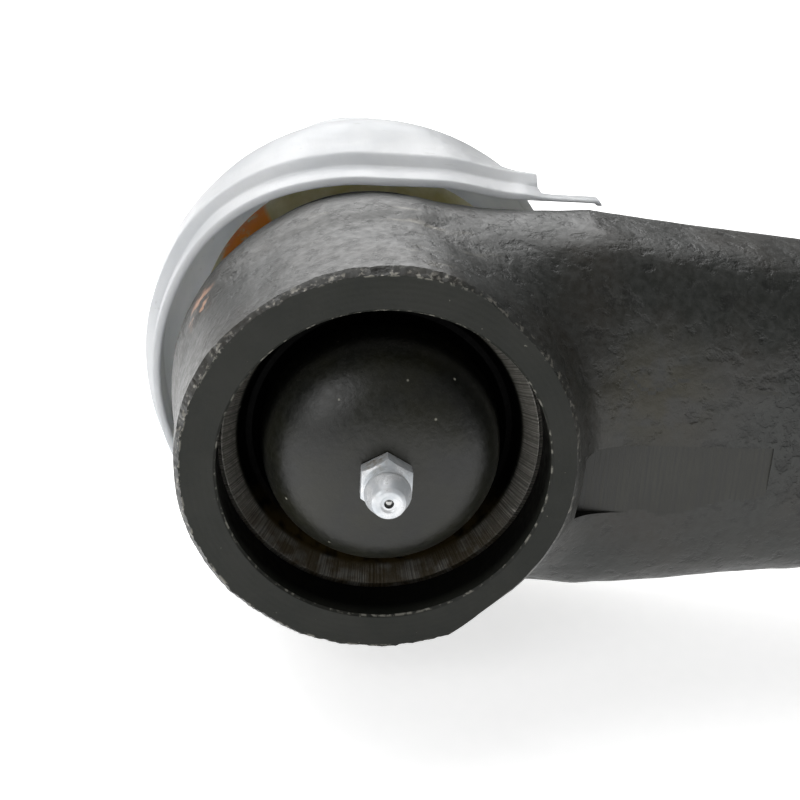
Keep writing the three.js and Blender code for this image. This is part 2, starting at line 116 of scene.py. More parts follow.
def finishPiece(piece, body, material, replaced=(), sharp=32):
    if material:
        piece.data.materials.clear()
        piece.data.materials.append(material)
    piece.data.shade_smooth()
    piece.data.set_sharp_from_angle(angle=math.radians(sharp))
    if body:
        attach(piece, body)
    if replaced:
        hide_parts(*replaced)
    return piece


def arcPoints(r, y, radius, start, stop, steps):
    angles = [math.radians(start + (stop - start) * i / steps) for i in range(steps + 1)]
    return [(r + radius * math.cos(a), y + radius * math.sin(a)) for a in angles]


def eased(profile, radius, steps=4):
    # rounds every corner of a closed profile by up to this radius
    rounded = []
    count = len(profile)
    for i, (r, y) in enumerate(profile):
        here = Vector((r, y))
        before = Vector(profile[i - 1]) - here
        after = Vector(profile[(i + 1) % count]) - here
        reach = min(radius, before.length * 0.45, after.length * 0.45)
        if reach < 0.02 or r < 0.01 or before.angle(after) > math.radians(165):
            rounded.append((r, y))
            continue
        first = here + before.normalized() * reach
        last = here + after.normalized() * reach
        for k in range(steps + 1):
            t = k / steps
            spot = first * (1 - t) ** 2 + here * (2 * t * (1 - t)) + last * t ** 2
            rounded.append((spot.x, spot.y))
    return rounded


def turned(name, profile, sides=128, ripple=None):
    # a closed profile of (radius, y) turned round the stud axis
    points, faces = [], []
    count = len(profile)
    for s in range(sides):
        angle = fullTurn * s / sides
        c, d = math.cos(angle), math.sin(angle)
        for r, y in profile:
            if ripple:
                r, y = ripple(r, y, angle)
            r = max(r, 0.0)
            points.append((r * c, y, r * d))
    for s in range(sides):
        here, there = s * count, ((s + 1) % sides) * count
        for i in range(count):
            j = (i + 1) % count
            if profile[i][0] < 1e-6 and profile[j][0] < 1e-6:
                continue
            faces.append((here + i, here + j, there + j, there + i))
    piece = newPiece(name, points, faces)
    return welded(piece)


def welded(piece):
    work = bmesh.new()
    work.from_mesh(piece.data)
    bmesh.ops.remove_doubles(work, verts=work.verts, dist=0.002 * mm)
    bmesh.ops.dissolve_degenerate(work, edges=work.edges, dist=0.001 * mm)
    bmesh.ops.recalc_face_normals(work, faces=work.faces)
    work.to_mesh(piece.data)
    work.free()
    return piece


def lofted(name, rings, closed=False):
    # skin over rings of equally many points, capped at both ends unless closed
    count = len(rings[0])
    points = [p for ring in rings for p in ring]
    faces = []
    spans = len(rings) if closed else len(rings) - 1
    for k in range(spans):
        here, there = k * count, ((k + 1) % len(rings)) * count
        for i in range(count):
            j = (i + 1) % count
            faces.append((here + i, here + j, there + j, there + i))
    if not closed:
        faces.append(tuple(range(count - 1, -1, -1)))
        last = (len(rings) - 1) * count
        faces.append(tuple(range(last, last + count)))
    return welded(newPiece(name, points, faces))


def tube(name, path, radius, sides=16, squash=1.0):
    # round wire along a path, with domed ends
    path = [Vector(p) for p in path]
    rings = []
    side = None
    for i, spot in enumerate(path):
        ahead = path[min(i + 1, len(path) - 1)] - path[max(i - 1, 0)]
        ahead.normalize()
        if side is None:
            side = ahead.orthogonal().normalized()
        side = (side - ahead * side.dot(ahead)).normalized()
        other = ahead.cross(side)
        ends = [(spot, radius)]
        if i == 0:
            ends = [(spot - ahead * radius * 0.35, radius * 0.6), (spot, radius)]
        if i == len(path) - 1:
            ends = [(spot, radius), (spot + ahead * radius * 0.35, radius * 0.6)]
        for middle, wide in ends:
            rings.append([
                tuple(middle + side * wide * math.cos(fullTurn * k / sides)
                      + other * wide * squash * math.sin(fullTurn * k / sides))
                for k in range(sides)])
    return lofted(name, rings)


def box(name, lowest, highest):
    x, y, z = zip(lowest, highest)
    return lofted(name, [[(x[0], y[k], z[0]), (x[1], y[k], z[0]), (x[1], y[k], z[1]), (x[0], y[k], z[1])]
                         for k in (0, 1)])


def hexagon(name, acrossFlats, fromY, toY):
    corner = acrossFlats / math.sqrt(3)
    rings = [[(corner * math.sin(fullTurn * k / 6), y, corner * math.cos(fullTurn * k / 6))
              for k in range(6)] for y in (fromY, toY)]
    return lofted(name, rings)


def threaded(name, radius, pitch, start, end, chamfer, along, sides=96, steps=8):
    # a screw thread: the radius follows the phase of the helix
    depth = 0.6 * pitch
    count = int((end - start) / pitch * steps)
    rings = []
    for k in range(count + 1):
        place = start + (end - start) * k / count
        room = min(place - start, end - place)
        limit = radius - max(chamfer - room, 0)
        ring = []
        for s in range(sides):
            angle = fullTurn * s / sides
            phase = (place / pitch - s / sides) % 1.0
            crest = min(max(abs(phase - 0.5) * 2.6 - 0.8 + 0.5, 0), 1)
            r = min(radius - depth * (1 - crest), limit)
            ring.append(along(place, r * math.cos(angle), r * math.sin(angle)))
        rings.append(ring)
    return lofted(name, rings)


def meshPoints(mesh):
    flat = np.empty(len(mesh.vertices) * 3)
    mesh.vertices.foreach_get("co", flat)
    return flat.reshape(-1, 3) / mm


def movePoints(mesh, points):
    mesh.vertices.foreach_set("co", (points * mm).ravel())
    mesh.update()


def relax(mesh, weight, rounds):
    # evens the surface out where the weight is above zero
    points = meshPoints(mesh)
    edges = np.empty(len(mesh.edges) * 2, dtype=np.int64)
    mesh.edges.foreach_get("vertices", edges)
    a, b = edges[::2], edges[1::2]
    count = len(points)
    degree = np.maximum(np.bincount(edges, minlength=count), 1)
    for _ in range(rounds):
        for axis in range(3):
            value = points[:, axis]
            total = (np.bincount(a, weights=value[b], minlength=count)
                     + np.bincount(b, weights=value[a], minlength=count))
            points[:, axis] = value + weight * (total / degree - value)
    movePoints(mesh, points)


def toLinear(text):
    parts = [int(text[i:i + 2], 16) / 255 for i in (1, 3, 5)]
    return tuple(c / 12.92 if c <= 0.04045 else ((c + 0.055) / 1.055) ** 2.4 for c in parts) + (1.0,)


def addNode(tree, kind, inputs=(), out=0, **settings):
    # adds a node, joins or sets its inputs (hex text is a colour) and gives back one output
    node = tree.nodes.new("ShaderNode" + kind)
    for key, value in settings.items():
        setattr(node, key, value)
    for key, value in (inputs.items() if isinstance(inputs, dict) else enumerate(inputs)):
        if isinstance(value, bpy.types.NodeSocket):
            tree.links.new(value, node.inputs[key])
        else:
            node.inputs[key].default_value = toLinear(value) if isinstance(value, str) else value
    return node.outputs[out] if len(node.outputs) else None


def newMaterial(name):
    material = bpy.data.materials.new(name)
    material.use_nodes = True
    tree = material.node_tree
    tree.nodes.clear()
    return material, tree, addNode(tree, "TexCoord", out="Object")


def surfaced(material, tree, values):
    shader = addNode(tree, "BsdfPrincipled", values)
    addNode(tree, "OutputMaterial", {"Surface": shader})
    return material


def perMm(size):
    return 1 / (size * mm)


def speckle(tree, place, size, detail=4.0, low=0.4, high=0.6, stretch=(1, 1, 1)):
    # noise of a grain size in millimetres, spread to 0 to 1
    spread = addNode(tree, "Mapping", {"Vector": place, "Scale": stretch})
    grain = addNode(tree, "TexNoise", {"Vector": spread, "Scale": perMm(size), "Detail": detail,
                                       "Roughness": 0.55})
    return addNode(tree, "MapRange", [grain, low, high])


def nearSpot(tree, place, spot, reach):
    # 1 at a place on the piece, falling to 0 at this reach, in millimetres
    away = addNode(tree, "VectorMath", [place, tuple(c * mm for c in spot)], "Value", operation="DISTANCE")
    return addNode(tree, "MapRange", [away, reach * mm, reach * 0.35 * mm])


def roundAxis(tree, place):
    # distance from the stud axis, angle round it, place along it and height
    x, y, z = (addNode(tree, "SeparateXYZ", [place], axis) for axis in range(3))
    radius = addNode(tree, "VectorMath", [addNode(tree, "CombineXYZ", [x, 0.0, z])], "Value",
                     operation="LENGTH")
    return radius, addNode(tree, "Math", [z, x], operation="ARCTAN2"), y, z


def layered(tree, color, layers):
    # colours laid over one another: each layer's masks and strengths are multiplied together
    for *masks, over in layers:
        share = masks[0]
        for mask in masks[1:]:
            share = addNode(tree, "Math", [share, mask], operation="MULTIPLY")
        color = addNode(tree, "Mix", {0: share, 6: color, 7: over}, 2, data_type="RGBA")
    return color


def raised(tree, layers):
    # bump layers as (height, depth in millimetres)
    normal = None
    for height, depth in layers:
        inputs = {"Height": height, "Distance": depth * mm, "Strength": 1.0}
        if normal:
            inputs["Normal"] = normal
        normal = addNode(tree, "Bump", inputs)
    return normal


forgingPaint = {"skin": 1.1, "pits": 2.6, "patches": 17, "crackle": 7.5, "edgeY": -26.9,
                "base": "#262825", "warm": "#2d2b26", "bloom": "#3f403e", "pit": "#131412",
                "olive": "#2f2b17", "copper": "#a5806a", "bare": "#8f8c84"}


def paintedForging():
    # thin black paint sprayed over a hot-forged, shot-blasted steel skin:
    # a dull dark grey with pits, a brown cast in patches and metal showing where it was knocked
    material, tree, place = newMaterial("paintedForging")
    v = forgingPaint
    y = addNode(tree, "SeparateXYZ", [place], 1)
    patches = speckle(tree, place, v["patches"], 3, 0.42, 0.62)
    fine = speckle(tree, place, v["skin"], 5, 0.35, 0.68)
    pits = speckle(tree, place, v["pits"], 6, 0.33, 0.46)
    coarse = addNode(tree, "Math", [nearSpot(tree, place, (72, -17, 2), 22),
                                    speckle(tree, place, 1.7, 5, 0.5, 0.58)], operation="MULTIPLY")
    # scratches along the top
    spots = addNode(tree, "Math", [nearSpot(tree, place, (2, -9, 31), 17),
                                   nearSpot(tree, place, (4, -20, 30), 9)],
                    operation="MAXIMUM")
    worn = addNode(tree, "Math", [spots, speckle(tree, place, 2.2, 5, 0.6, 0.7, (0.22, 1, 1))],
                   operation="MULTIPLY")
    # paint knocked off along the outer edge of the closure face
    close = addNode(tree, "MapRange", [y, (v["edgeY"] + 0.3) * mm, (v["edgeY"] - 0.5) * mm])
    chips = addNode(tree, "Math", [close, speckle(tree, place, 0.9, 5, 0.54, 0.62)], operation="MULTIPLY")
    color = layered(tree, v["base"], [
        (patches, v["warm"]),
        (fine, 0.5, v["bloom"]),
        (addNode(tree, "MapRange", [pits, 0.0, 1.0, 0.5, 0.0]), v["pit"]),
        (coarse, 0.6, v["pit"]),
        # a stain of old grease on the arm beside the fillet
        (nearSpot(tree, place, (40, -17, 8), 12), speckle(tree, place, 5, 4, 0.4, 0.55), 0.7, v["olive"]),
        (worn, 0.5, v["bare"]),
        # a coppery scrape on the far side of the top
        (nearSpot(tree, place, (-27.5, -5, 15.5), 4.5),
         speckle(tree, place, 1.6, 3, 0.5, 0.58, (1, 1, 0.25)), v["copper"]),
        (chips, 0.8, v["bare"])])
    bare = addNode(tree, "Math", [chips, worn], operation="MAXIMUM")
    cells = addNode(tree, "TexVoronoi", {"Vector": place, "Scale": perMm(v["crackle"])},
                    feature="DISTANCE_TO_EDGE")
    cracks = addNode(tree, "Math", [addNode(tree, "MapRange", [cells, 0.05, 0.0]),
                                    nearSpot(tree, place, (52, -14, 24), 15)], operation="MULTIPLY")
    return surfaced(material, tree, {
        "Base Color": color, "Metallic": addNode(tree, "Math", [bare, 0.5], operation="MULTIPLY"),
        "Roughness": addNode(tree, "MapRange", [fine, 0.0, 1.0, 0.34, 0.5]), "IOR": 1.5,
        "Normal": raised(tree, [(pits, 0.09), (fine, 0.035), (patches, 0.2), (coarse, -0.1),
                                (cracks, -0.03)])})


# bore holds the near-black colour of the painted shade down the bore
facePaint = {"outerEdge": 29.0, "innerEdge": 24.0, "faceY": -28, "feed": 0.9, "base": "#20221e",
             "warm": "#272824", "bloom": "#31322d", "bare": "#8a887f", "bore": "#0b0b0a"}


def paintedMachining():
    # the same paint over a turned face: flat and almost black, with faint rings from the tool, and painted
    # shade down the bore
    material, tree, place = newMaterial("paintedMachining")
    v = facePaint
    radius, _, y, _ = roundAxis(tree, place)
    grain = speckle(tree, place, 1.3, 5, 0.35, 0.65)
    # the tool's feed is drawn at 0.9 mm, since the real 0.25 mm wouldn't show
    rings = addNode(tree, "Math", [radius, fullTurn * perMm(v["feed"])], operation="MULTIPLY")
    rings = addNode(tree, "Math", [rings], operation="SINE")
    outer = addNode(tree, "MapRange", [radius, (v["outerEdge"] - 0.2) * mm, (v["outerEdge"] + 0.1) * mm])
    inner = addNode(tree, "MapRange", [radius, (v["innerEdge"] + 0.2) * mm, v["innerEdge"] * mm])
    edge = addNode(tree, "Math", [outer, inner], operation="MAXIMUM")
    onFace = addNode(tree, "MapRange", [y, (v["faceY"] + 0.5) * mm, (v["faceY"] + 0.2) * mm])
    # painted shade: down the bore the wall is painted nearly black and its reflection is turned down, for the
    # shadow in the recess
    deep = addNode(tree, "MapRange", [y, (v["faceY"] + 1) * mm, (v["faceY"] + 3) * mm])
    color = layered(tree, v["base"], [
        (speckle(tree, place, 9, 3, 0.4, 0.62), v["warm"]),
        (grain, 0.25, v["bloom"]),
        (speckle(tree, place, 0.9, 1, 0.76, 0.785), 0.6, v["bare"]),
        (edge, onFace, speckle(tree, place, 1.1, 5, 0.52, 0.6), v["bare"]),
        # painted shade: nearly black down the bore
        (deep, v["bore"])])
    return surfaced(material, tree, {
        "Base Color": color, "Roughness": addNode(tree, "MapRange", [grain, 0.0, 1.0, 0.42, 0.55]),
        "IOR": 1.5,
        # painted shade: less reflection down the bore
        "Specular IOR Level": addNode(tree, "MapRange", [deep, 0.0, 1.0, 0.24, 0.1]),
        "Normal": raised(tree, [(grain, 0.02), (rings, 0.004)])})


def groundSkin():
    # the arm's pad, rough ground across its length before painting: parallel lines and a duller black
    material, tree, place = newMaterial("groundSkin")
    lines = speckle(tree, place, 2.6, 4, 0.36, 0.62, (5, 0.3, 0.12))
    color = layered(tree, "#21221f", [(lines, "#35352f"), (speckle(tree, place, 7, 3), 0.5, "#262622")])
    return surfaced(material, tree, {
        "Base Color": color, "Roughness": addNode(tree, "MapRange", [lines, 0.0, 1.0, 0.4, 0.52]), "IOR": 1.5,
        "Normal": raised(tree, [(lines, 0.03)])})


def oiledThread():
    # a rolled thread, oiled and left bare: dark bright flanks with a brown film in the roots
    material, tree, place = newMaterial("oiledThread")
    film = speckle(tree, place, 6, 4, 0.38, 0.62)
    return surfaced(material, tree, {
        "Base Color": layered(tree, "#6b6965", [(film, "#52493a")]), "Metallic": 0.85,
        "Roughness": addNode(tree, "MapRange", [film, 0.0, 1.0, 0.28, 0.48]),
        "Normal": raised(tree, [(speckle(tree, place, 0.8, 3, 0.3, 0.7), 0.01)])})


# the near-black valley colour is painted shade in the valley round the dome
coverFinish = {"rimInner": 21.3, "rimY": -16.2, "striations": 74, "valleyIn": 16.9, "valleyOut": 18.0,
               "grit": 3.4, "black": "#171815", "brown": "#1f1f16", "bloom": "#2b2c27", "scored": "#a5a29a",
               "speck": "#a9a79a", "grease": "#050505", "dirt": "#3a3019"}


def phosphatedStamping():
    # a deep-drawn cover, phosphated and oiled black: semi-gloss on the dome, and a rim that
    # the closing tool has scored, where bare steel and trapped dirt show between the strokes; the valley
    # round the dome carries painted shade
    material, tree, place = newMaterial("phosphatedStamping")
    v = coverFinish
    radius, angle, y, z = roundAxis(tree, place)
    cloud = speckle(tree, place, 8, 4, 0.4, 0.62)
    grain = speckle(tree, place, 0.9, 4, 0.35, 0.66)
    # specks of grit, in under a third of the cells
    cells = {"Vector": place, "Scale": perMm(v["grit"])}
    tint = addNode(tree, "SeparateColor", [addNode(tree, "TexVoronoi", cells, "Color")])
    chosen = addNode(tree, "Math", [tint, 0.7], operation="GREATER_THAN")
    dots = addNode(tree, "MapRange", [addNode(tree, "TexVoronoi", cells, "Distance"), 0.08, 0.04])
    # painted shade: the valley round the dome is painted near black, for the shadow between dome and rim
    into = addNode(tree, "MapRange", [radius, v["valleyIn"] * mm, v["valleyOut"] * mm])
    back = addNode(tree, "MapRange", [radius, (v["rimInner"] + 0.1) * mm, (v["rimInner"] - 0.2) * mm])
    greased = addNode(tree, "Math", [into, back], operation="MULTIPLY")
    # the tool's strokes, broken up along their length
    line = addNode(tree, "Math", [angle, float(v["striations"])], operation="MULTIPLY")
    strokes = addNode(tree, "TexNoise", {"W": line, "Scale": 1.0, "Detail": 3.0}, noise_dimensions="1D")
    broken = addNode(tree, "MapRange", [speckle(tree, place, 1.1), 0.0, 1.0, 0.45, 1.0])
    strokes = addNode(tree, "Math", [addNode(tree, "MapRange", [strokes, 0.4, 0.64]), broken],
                      operation="MULTIPLY")
    outside = addNode(tree, "MapRange", [radius, v["rimInner"] * mm, (v["rimInner"] + 0.3) * mm])
    front = addNode(tree, "MapRange", [y, (v["rimY"] + 1.2) * mm, v["rimY"] * mm])
    onRim = addNode(tree, "Math", [outside, front], operation="MULTIPLY")
    cuts = addNode(tree, "Math", [onRim, strokes], operation="MULTIPLY")
    # dirt gathers at the foot of the rim
    low = addNode(tree, "Math", [addNode(tree, "MapRange", [z, -8 * mm, -17 * mm]),
                                 speckle(tree, place, 2.2, 5, 0.36, 0.54)], operation="MULTIPLY")
    low = addNode(tree, "Math", [low, addNode(tree, "MapRange", [radius, 19 * mm, 21 * mm])],
                  operation="MULTIPLY")
    color = layered(tree, v["black"], [
        (cloud, v["brown"]),
        (grain, 0.25, v["bloom"]),
        (chosen, dots, 0.7, v["speck"]),
        # painted shade: the valley round the dome painted near black
        (greased, v["grease"]),
        (onRim, addNode(tree, "MapRange", [strokes, 0.0, 1.0, 0.2, 0.95]), v["scored"]),
        (low, 0.85, v["dirt"])])
    clean = addNode(tree, "MapRange", [low, 0.0, 1.0, 0.6, 0.0])
    return surfaced(material, tree, {
        "Base Color": color, "Metallic": addNode(tree, "Math", [cuts, clean], operation="MULTIPLY"),
        "Roughness": addNode(tree, "MapRange", [grain, 0.0, 1.0, 0.32, 0.44]), "IOR": 1.5,
        # painted shade: the valley's reflection turned down
        "Specular IOR Level": addNode(tree, "MapRange", [greased, 0.0, 1.0, 0.5, 0.03]),
        "Normal": raised(tree, [(grain, 0.02), (cloud, 0.03), (cuts, 0.08)])})


def zincPlate():
    # bright zinc over turned steel: a cool silver, faintly clouded, with a tea-coloured water stain
    material, tree, place = newMaterial("zincPlate")
    cloud = speckle(tree, place, 2.4, 4, 0.4, 0.62)
    stain = speckle(tree, place, 0.8, 3, 0.42, 0.6)
    color = layered(tree, "#f1f3f5", [
        (cloud, "#d5dade"), (nearSpot(tree, place, (-2.0, -32, 3.4), 2.6), stain, 0.6, "#8e7c5c")])
    return surfaced(material, tree, {
        "Base Color": color, "Metallic": 0.25, "Roughness": addNode(tree, "MapRange",
                                                                    [cloud, 0.0, 1.0, 0.26, 0.42]),
        "Normal": raised(tree, [(speckle(tree, place, 0.35, 3, 0.3, 0.7), 0.006), (cloud, 0.01)])})


def groundSteel(name, tint, dull, low, high):
    # turned or ground steel left bare and oiled: rings round the axis and a soft shine
    material, tree, place = newMaterial(name)
    along = addNode(tree, "SeparateXYZ", [place], 1)
    rings = addNode(tree, "TexNoise", {"W": along, "Scale": perMm(0.5), "Detail": 3.0}, noise_dimensions="1D")
    cloud = speckle(tree, place, 8, 3)
    color = layered(tree, tint, [(cloud, dull), (addNode(tree, "MapRange", [rings, 0.3, 0.7, 0.0, 0.25]),
                                                 dull)])
    return surfaced(material, tree, {
        "Base Color": color, "Metallic": 0.95, "Roughness": addNode(tree, "MapRange",
                                                                    [cloud, 0.0, 1.0, low, high]),
        "Normal": raised(tree, [(rings, 0.006)])})


def springWire():
    # oil-tempered spring wire: nearly black and smooth, with a drawn grain
    material, tree, place = newMaterial("springWire")
    grain = speckle(tree, place, 0.7, 4, 0.35, 0.65)
    return surfaced(material, tree, {
        "Base Color": layered(tree, "#3b3a37", [(grain, "#5a5852")]), "Metallic": 0.85,
        "Roughness": addNode(tree, "MapRange", [grain, 0.0, 1.0, 0.3, 0.45]),
        "Normal": raised(tree, [(grain, 0.01)])})


bootFinish = {"dabFrom": 2.24, "dabTo": 2.66, "dab": "#f08a10", "honey": "#d6cfa6", "deep": "#bfb57e"}


def castUrethane():
    # natural polyurethane, cast: honey-coloured and cloudy, so that light glows in its thin lips
    material, tree, place = newMaterial("castUrethane")
    v = bootFinish
    angle = roundAxis(tree, place)[1]
    cloud = speckle(tree, place, 6, 4, 0.4, 0.62)
    fine = speckle(tree, place, 0.9, 3, 0.3, 0.7)
    # an inspector's dab of orange paint
    begun = addNode(tree, "MapRange", [angle, v["dabFrom"], v["dabFrom"] + 0.03])
    ended = addNode(tree, "MapRange", [angle, v["dabTo"], v["dabTo"] - 0.03])
    ragged = addNode(tree, "MapRange", [speckle(tree, place, 3, 4, 0.3, 0.7), 0.1, 0.35])
    color = layered(tree, v["honey"], [(cloud, v["deep"]), (begun, ended, ragged, v["dab"])])
    return surfaced(material, tree, {
        "Base Color": color, "Roughness": addNode(tree, "MapRange", [fine, 0.0, 1.0, 0.34, 0.46]), "IOR": 1.5,
        "Subsurface Weight": 0.5, "Subsurface Scale": 0.003, "Subsurface Radius": (1.0, 0.8, 0.35),
        "Normal": raised(tree, [(fine, 0.01), (cloud, 0.06)])})


capFinish = {"milk": "#e9ebed", "thin": "#dde0e3", "scuff": "#a9aaa6"}


def moldedPolythene():
    # natural low-density polythene, injection moulded: milky, waxy and uneven in thickness,
    # so that it is nearly as light as what lies behind it
    material, tree, place = newMaterial("moldedPolythene")
    v = capFinish
    cloud = speckle(tree, place, 14, 3, 0.4, 0.62)
    flow = speckle(tree, place, 4, 4, 0.35, 0.65, (1, 0.2, 1))
    scuffs = speckle(tree, place, 1.6, 4, 0.66, 0.72, (0.3, 1, 1))
    color = layered(tree, v["milk"], [(cloud, v["thin"]), (scuffs, 0.3, v["scuff"])])
    return surfaced(material, tree, {
        "Base Color": color, "Roughness": addNode(tree, "MapRange", [flow, 0.0, 1.0, 0.34, 0.46]),
        "IOR": 1.51,
        "Subsurface Weight": 0.4, "Subsurface Scale": 0.003, "Subsurface Radius": (1.0, 1.0, 0.95),
        "Transmission Weight": 0.3, "Normal": raised(tree, [(flow, 0.05), (cloud, 0.15)])})


forgedPaint = paintedForging()
facedPaint = paintedMachining()
groundPaint = groundSkin()
threadSteel = oiledThread()
coverBlack = phosphatedStamping()
zinc = zincPlate()
studSteel = groundSteel("groundStud", "#a8a7a3", "#8b8983", 0.24, 0.36)
bearingSteel = groundSteel("hardenedBearing", "#77736a", "#5d5a52", 0.3, 0.44)
ballSteel = groundSteel("checkBallSteel", "#c2c2c0", "#a9a9a6", 0.12, 0.2)
wire = springWire()
urethane = castUrethane()
polythene = moldedPolythene()
print("materials made")


forging = {"faceY": -28, "faceRadius": 29.1, "edgeRadius": 29.9, "girth": 32, "backRound": 26,
           "shoulderY": 17.67,
           "spigotRadius": 24.81, "spigotTop": 22.17, "armHeight": 61, "neckHeight": 54, "thick": 34,
           "neckX": 66, "shankX": 104, "shankEnd": 184, "shankRadius": 19.05, "voxel": 0.62,
           "pitch": 2.117, "fillet": 11, "filletRounds": 260,
           "skinNoise": ((19, 0.3), (5, 0.1), (1.7, 0.035)),
           "edgeNoise": ((9, 0.28), (31, 0.16), (80, 0.1)),
           "cavity": [(24.25, -28.01), (23.9, -27.65), (23.9, -19.6), (25, -19.6), (25, -12.9), (23.7, -12.9),
                      (23.7, 9.68), (17.7, 15.67), (20.6, 23.2), (0, 23.2)],
           "groundX": (31, 60), "groundZ": (-11.5, 0), "groundDepth": 0.25}


def armRing(x, halfThick, halfHigh, square, count=72):
    ring = []
    for i in range(count):
        c, s = math.cos(fullTurn * i / count), math.sin(fullTurn * i / count)
        ring.append((x, halfThick * math.copysign(abs(c) ** (2 / square), c),
                     halfHigh * math.copysign(abs(s) ** (2 / square), s)))
    return ring


def makeForging():
    v = forging
    half = v["thick"] / 2
    backAngle = math.degrees(math.asin(v["shoulderY"] / v["backRound"]))
    barrel = turned("socketForging", [
        (0, v["faceY"] - 3), (v["edgeRadius"] - 0.15, v["faceY"] - 3), (v["edgeRadius"], v["faceY"]),
        *arcPoints(v["girth"] - v["backRound"], 0, v["backRound"], -18, backAngle, 24),
        (v["spigotRadius"], v["shoulderY"]), (v["spigotRadius"], v["spigotTop"]), (0, v["spigotTop"])], 160)
    rings = [armRing(x, half, high / 2, 3) for x, high in ((4, v["armHeight"]), (31, v["armHeight"]))]
    rings.append(armRing(v["neckX"], half, v["neckHeight"] / 2, 2.8))
    for i in range(1, 13):
        t = i / 12
        ease = t * t * (3 - 2 * t)
        rings.append(armRing(v["neckX"] + (v["shankX"] - v["neckX"] - 3) * t,
                             half + (v["shankRadius"] - half) * ease,
                             v["neckHeight"] / 2 + (v["shankRadius"] - v["neckHeight"] / 2) * ease,
                             2.8 - 0.8 * ease))
    rings.append(armRing(v["shankX"], v["shankRadius"], v["shankRadius"], 2))
    arm = lofted("arm", rings)
    combine(barrel, arm, "UNION")
    skin = barrel.modifiers.new("skin", "REMESH")
    skin.mode = "VOXEL"
    skin.voxel_size = v["voxel"] * mm
    applied(barrel)

    # the forging's fillets, then the unevenness of its skin
    mesh = barrel.data
    points = meshPoints(mesh)
    relax(mesh, np.full(len(points), 0.6), 8)
    points = meshPoints(mesh)
    out = np.hypot(points[:, 0], points[:, 2])
    nearCrease = np.clip(1 - np.abs(out - v["girth"] - 1) / v["fillet"], 0, 1)
    nearCrease *= np.clip((points[:, 0] - 8) / 10, 0, 1)
    relax(mesh, np.clip(nearCrease * 1.4, 0, 0.9), v["filletRounds"])
    points = meshPoints(mesh)
    normals = np.empty(len(points) * 3)
    mesh.vertices.foreach_get("normal", normals)
    normals = normals.reshape(-1, 3)
    lift = np.array([sum(high * noise.noise(Vector(p) / size) for size, high in v["skinNoise"])
                     for p in points])
    calm = np.clip((v["shankX"] - 1 - points[:, 0]) / 12, 0, 1) * (points[:, 1] < v["shoulderY"] - 0.6)
    points += normals * (lift * calm)[:, None]
    movePoints(mesh, points)
    print("forging skin,", len(points), "points")

    # machining: the closure face and its worn edge, the bore and the ball cavity, the pad
    combine(barrel, box("faceCut", (-60, v["faceY"] - 10, -60), (60, v["faceY"], 60)))

    def ragged(r, y, angle):
        spot = Vector((math.cos(angle), math.sin(angle), 0))
        wobble = sum(high * noise.noise(spot * rate) for rate, high in v["edgeNoise"])
        return (r + wobble, y) if r < 33 else (r, y)
    combine(barrel, turned("edgeCut", [
        (v["faceRadius"] - 0.5, v["faceY"] - 0.6), (v["faceRadius"] + 0.15, v["faceY"] + 0.2),
        (v["edgeRadius"] + 0.3, v["faceY"] + 1.7), (38, v["faceY"] + 3),
        (38, v["faceY"] - 0.6)], 720, ragged))
    combine(barrel, turned("cavity", [(0, v["faceY"] - 1), (24.25, v["faceY"] - 1), *v["cavity"]], 240))
    combine(barrel, box("pad", (v["groundX"][0] - 1, -v["thick"], v["groundZ"][0]),
                        (v["groundX"][1], -half + v["groundDepth"], v["groundZ"][1])))

    mesh = barrel.data
    mesh.materials.clear()
    for material in (forgedPaint, facedPaint, groundPaint):
        mesh.materials.append(material)
    centres = np.empty(len(mesh.polygons) * 3)
    mesh.polygons.foreach_get("center", centres)
    centres = centres.reshape(-1, 3) / mm
    out = np.hypot(centres[:, 0], centres[:, 2])
    chosen = np.zeros(len(centres), dtype=np.int32)
    chosen[centres[:, 1] < v["faceY"] + 0.02] = 1
    chosen[(out < 25.1) & (centres[:, 1] < 24)] = 1
    inPad = (centres[:, 0] > v["groundX"][0]) & (centres[:, 0] < v["groundX"][1])
    inPad &= np.abs(centres[:, 1] + half - v["groundDepth"]) < 0.02
    chosen[inPad] = 2
    mesh.polygons.foreach_set("material_index", chosen)
    finishPiece(barrel, "socket", None, ("socket_forging",), 28)
    return barrel


def makeShank():
    v = forging
    shank = threaded("shankThread", v["shankRadius"], v["pitch"], v["shankX"] + 0.02, v["shankEnd"], 2.0,
                     lambda place, p, q: (place, p, q), 112)
    return finishPiece(shank, "socket", threadSteel, ("socket_forging",), 50)


makeForging()
makeShank()
print("forging made")


cover = {"rim": 23.45, "rimY": -19.4, "innerRim": 21.2, "innerRimY": -16.6, "valleyY": -14.4, "backY": -11.5,
         "undercut": 24.7, "seatY": -13.2, "dome": 17.5, "domeY": -18.4, "topY": -30.4, "square": 2.5,
         "thick": 2.9, "hole": 3.475, "scoring": 0.07}


def domeLine(radius, fromY, toY, square, steps):
    line = []
    for i in range(steps + 1):
        angle = math.pi / 2 * i / steps
        line.append((radius * math.cos(angle) ** (2 / square),
                     fromY + (toY - fromY) * math.sin(angle) ** (2 / square)))
    return line


